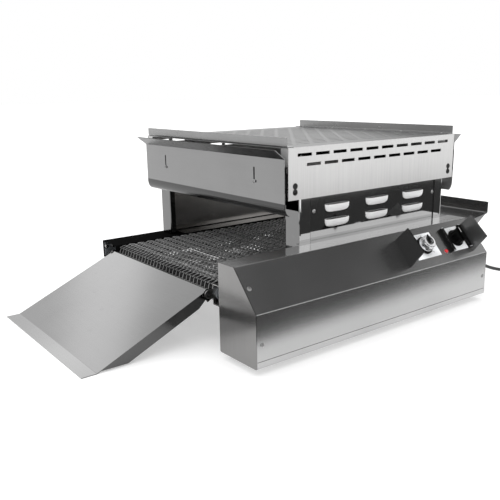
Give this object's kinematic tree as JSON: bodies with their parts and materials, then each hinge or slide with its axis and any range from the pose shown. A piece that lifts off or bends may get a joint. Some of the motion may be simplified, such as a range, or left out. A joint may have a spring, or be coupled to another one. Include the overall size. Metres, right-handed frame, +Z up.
{
  "type": "conveyor grill",
  "caption": "Countertop conveyor grill: a wire mesh belt runs through a slotted stainless hood with adjustable end flaps, a sloped control box and hooked infeed and discharge trays.",
  "frame": {"origin": "middle of the machine's outline on the table, without the cord", "axes": "+X along the belt towards the infeed tray, +Y away from the control box, +Z up"},
  "size_m": [1.3733, 0.7786, 0.41],
  "materials": {
    "steel_brushed": "brushed stainless sheet",
    "steel_satin": "satin stainless sheet",
    "steel_dark": "heat darkened stainless sheet",
    "belt_wire": "woven stainless wire",
    "steel_bright": "drawn bright bar",
    "heater_sheath": "oxidised heater tube",
    "guard_paint": "dark satin paint",
    "dial_white": "printed dial plate",
    "knob_chrome": "bright knob",
    "knob_black": "moulded black",
    "lamp_red": "clear red lens",
    "motor_alloy": "cast alloy",
    "unit_plastic": "moulded",
    "foot_rubber": "moulded",
    "cord_rubber": "flexible jacket",
    "tie_plastic": "moulded"
  },
  "bodies": {
    "frame": {"box_cover": "steel_brushed", "box_end_left": "steel_brushed", "box_end_right": "steel_brushed", "box_tray": "steel_brushed", "upstand_front": "steel_brushed", "upstand_rear": "steel_brushed", "post_front_near": "steel_brushed", "post_front_far": "steel_brushed", "post_rear_near": "steel_brushed", "post_rear_far": "steel_brushed", "panel_near": "steel_satin", "panel_far": "steel_satin", "top_plate": "steel_satin", "rail_near": "steel_satin", "rail_far": "steel_satin", "leg_front": "steel_satin", "leg_rear": "steel_satin", "wall_near": "steel_dark", "wall_far": "steel_dark", "beam_front": "steel_dark", "beam_rear": "steel_dark", "reflector": "steel_dark", "heater_bars": "steel_dark", "belt_top_run": "belt_wire", "belt_return_run": "belt_wire", "belt_front_wrap": "belt_wire", "belt_rear_wrap": "belt_wire", "chute_rod": "steel_bright", "infeed_rod": "steel_bright", "stop_rod": "steel_bright", "cross_ties": "steel_bright", "belt_skids": "steel_bright", "drum_bearings": "steel_bright", "flap_screws": "steel_bright", "heaters": "heater_sheath", "low_heaters": "heater_sheath", "guard_left": "guard_paint", "guard_right": "guard_paint", "speed_dial": "dial_white", "heat_dial": "dial_white", "pilot_lamp": "lamp_red", "gear_motor": "motor_alloy", "speed_controller": "unit_plastic", "thermostat": "unit_plastic", "terminal_block": "unit_plastic", "rubber_feet": "foot_rubber", "cord_gland": "cord_rubber", "cord": "cord_rubber", "cord_coil": "cord_rubber", "cord_tail": "cord_rubber", "plug": "cord_rubber", "cord_tie": "tie_plastic"},
    "front_flap": {"flap_front": "steel_brushed"},
    "rear_flap": {"flap_rear": "steel_brushed"},
    "chute": {"discharge_chute": "steel_brushed"},
    "infeed": {"infeed_tray": "steel_brushed"},
    "speed_control": {"speed_knob": "knob_chrome"},
    "heat_control": {"heat_knob": "knob_black"},
    "drive_roll": {"drive_drum": "steel_bright"},
    "idler_roll": {"idler_drum": "steel_bright"}
  },
  "joints": [
    {"name": "front_flap_slide", "type": "slide", "parent": "frame", "child": "front_flap", "axis": [0, 0, 1], "range_m": [-0.028, 0]},
    {"name": "rear_flap_slide", "type": "slide", "parent": "frame", "child": "rear_flap", "axis": [0, 0, 1], "range_m": [-0.028, 0]},
    {"name": "chute_lift", "type": "hinge", "parent": "frame", "child": "chute", "pos_m": [-0.35016, 0.06993, 0.104], "axis": [0, 1, 0], "range_deg": [0, 75]},
    {"name": "infeed_lift", "type": "hinge", "parent": "frame", "child": "infeed", "pos_m": [0.37184, 0.06993, 0.104], "axis": [0, -1, 0], "range_deg": [0, 70]},
    {"name": "speed_turn", "type": "hinge", "parent": "frame", "child": "speed_control", "pos_m": [0.12484, -0.30775, 0.15707], "axis": [0, -0.7513, 0.6599], "range_deg": [-270, 0]},
    {"name": "heat_turn", "type": "hinge", "parent": "frame", "child": "heat_control", "pos_m": [0.23884, -0.30775, 0.15707], "axis": [0, -0.7513, 0.6599], "range_deg": [-270, 0]},
    {"name": "drive_spin", "type": "hinge", "parent": "frame", "child": "drive_roll", "pos_m": [-0.31716, 0.06993, 0.102], "axis": [0, 1, 0], "continuous": true},
    {"name": "idler_spin", "type": "hinge", "parent": "frame", "child": "idler_roll", "pos_m": [0.33884, 0.06993, 0.102], "axis": [0, 1, 0], "continuous": true}
  ],
  "couplings": [
    {"joint": "idler_spin", "follows": "drive_spin", "ratio": 1}
  ]
}
